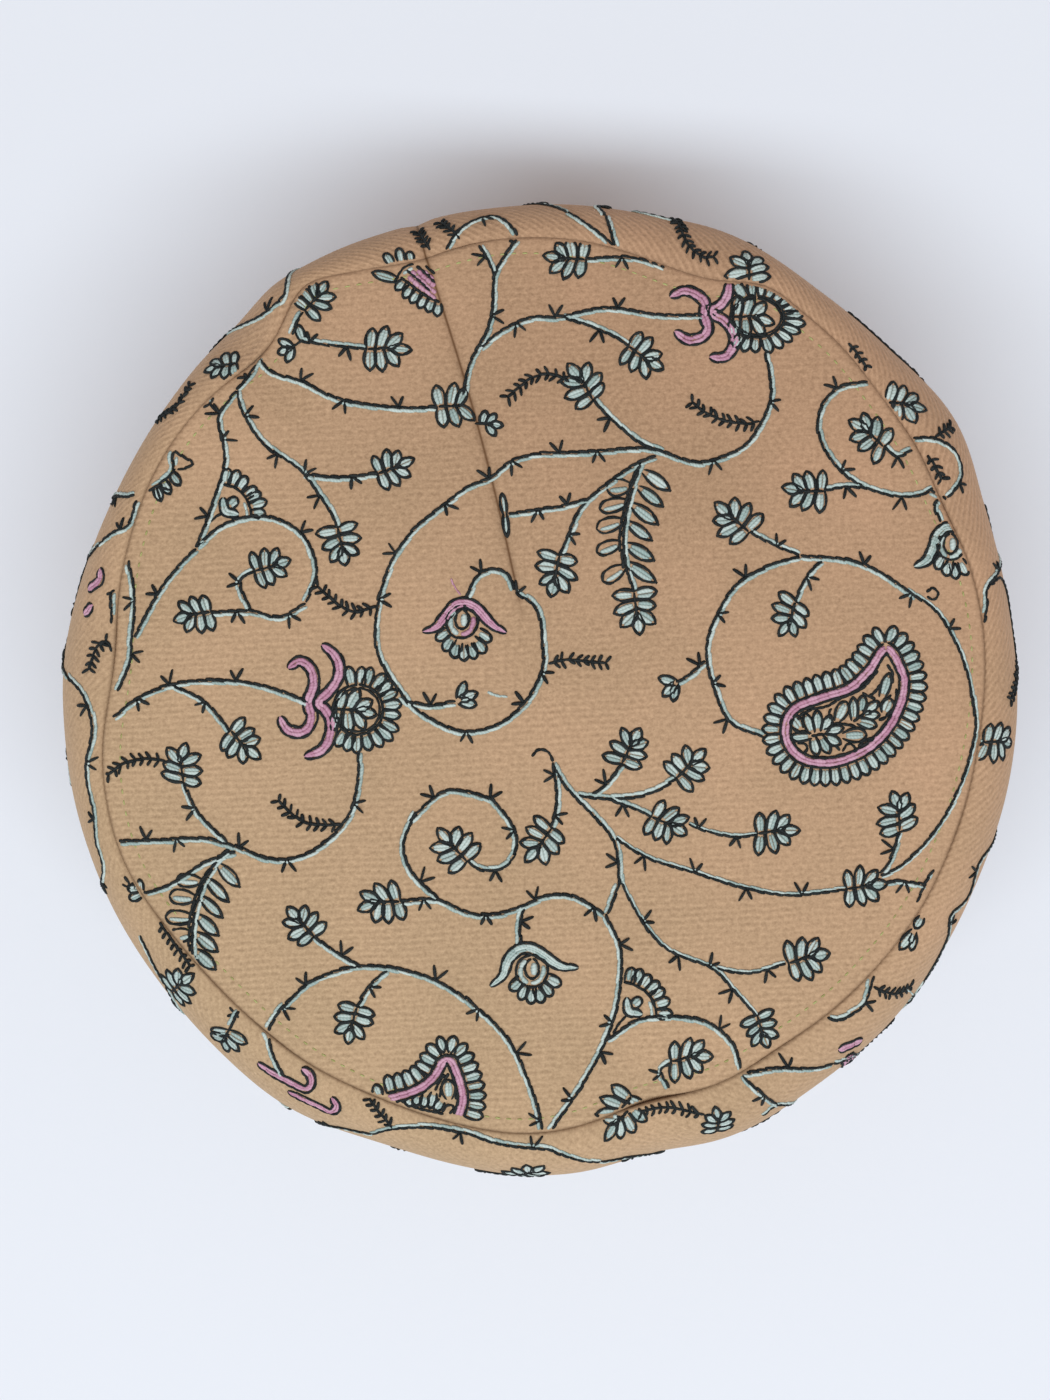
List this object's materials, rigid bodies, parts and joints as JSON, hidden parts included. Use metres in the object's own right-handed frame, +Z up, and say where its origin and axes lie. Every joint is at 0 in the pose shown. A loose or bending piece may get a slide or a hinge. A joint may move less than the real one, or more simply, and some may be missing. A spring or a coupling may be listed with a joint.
{
  "type": "embroidered cap",
  "caption": "Round soft cap with a flat, slightly domed crown sewn to an upright side band, open below for the head, covered in vine embroidery.",
  "frame": {"origin": "middle of the cap's outline on the surface that its rim stands on", "axes": "+Z up through the crown, +Y to the back, where the dart and the band's joined ends are, -Y to the front"},
  "size_m": [0.1882, 0.1916, 0.084],
  "materials": {
    "wool_twill": "camel wool twill, matt with a light nap",
    "dark_thread": "blue-black embroidery thread, soft sheen",
    "aqua_thread": "pale aqua embroidery thread, soft sheen",
    "pink_thread": "mauve pink embroidery thread, soft sheen",
    "green_thread": "pale green sewing thread, matt"
  },
  "bodies": {
    "root": {"crown_top": "wool_twill", "side_band": "wool_twill"}
  },
  "joints": []
}
